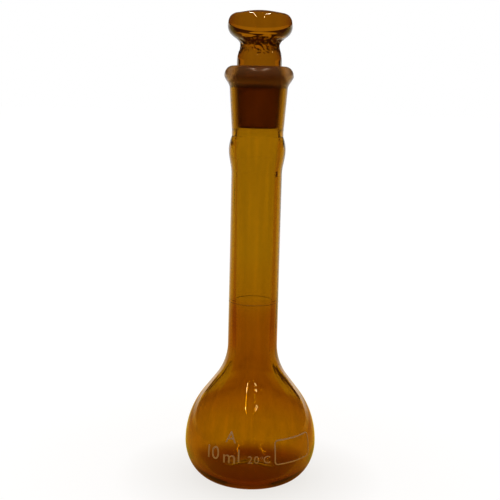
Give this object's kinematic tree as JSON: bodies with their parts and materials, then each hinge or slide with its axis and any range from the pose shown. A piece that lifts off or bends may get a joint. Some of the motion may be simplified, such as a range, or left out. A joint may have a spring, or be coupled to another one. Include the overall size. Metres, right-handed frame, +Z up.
{
  "type": "volumetric flask",
  "caption": "Amber volumetric flask: pear-shaped bulb, long neck with a filling line, ground socket with a beaded rim, and a one-piece ground stopper with a low domed head.",
  "frame": {"origin": "centre of the ring that the base stands on", "axes": "+Z up the neck, which is the axis of the bulb, the socket and the stopper; the enamel marks face -Y"},
  "size_m": [0.0288, 0.0289, 0.1014],
  "materials": {
    "amber_glass": "clear, fire polished; frosted on the ground joint",
    "line_enamel": "fired on, dark brown",
    "mark_enamel": "fired on, matt off-white"
  },
  "bodies": {
    "flask": {"flask_body": "amber_glass", "joint_socket": "amber_glass", "graduation_ring": "line_enamel", "class_letter": "mark_enamel", "capacity_one": "mark_enamel", "capacity_zero": "mark_enamel", "unit_m": "mark_enamel", "unit_l": "mark_enamel", "temperature_two": "mark_enamel", "temperature_zero": "mark_enamel", "temperature_degree": "mark_enamel", "temperature_c": "mark_enamel", "writing_field": "mark_enamel"},
    "stopper": {"stopper": "amber_glass"}
  },
  "joints": [
    {"name": "stopper_lift", "type": "slide", "parent": "flask", "child": "stopper", "axis": [0, 0, 1], "range_m": [0, 0.03]}
  ]
}
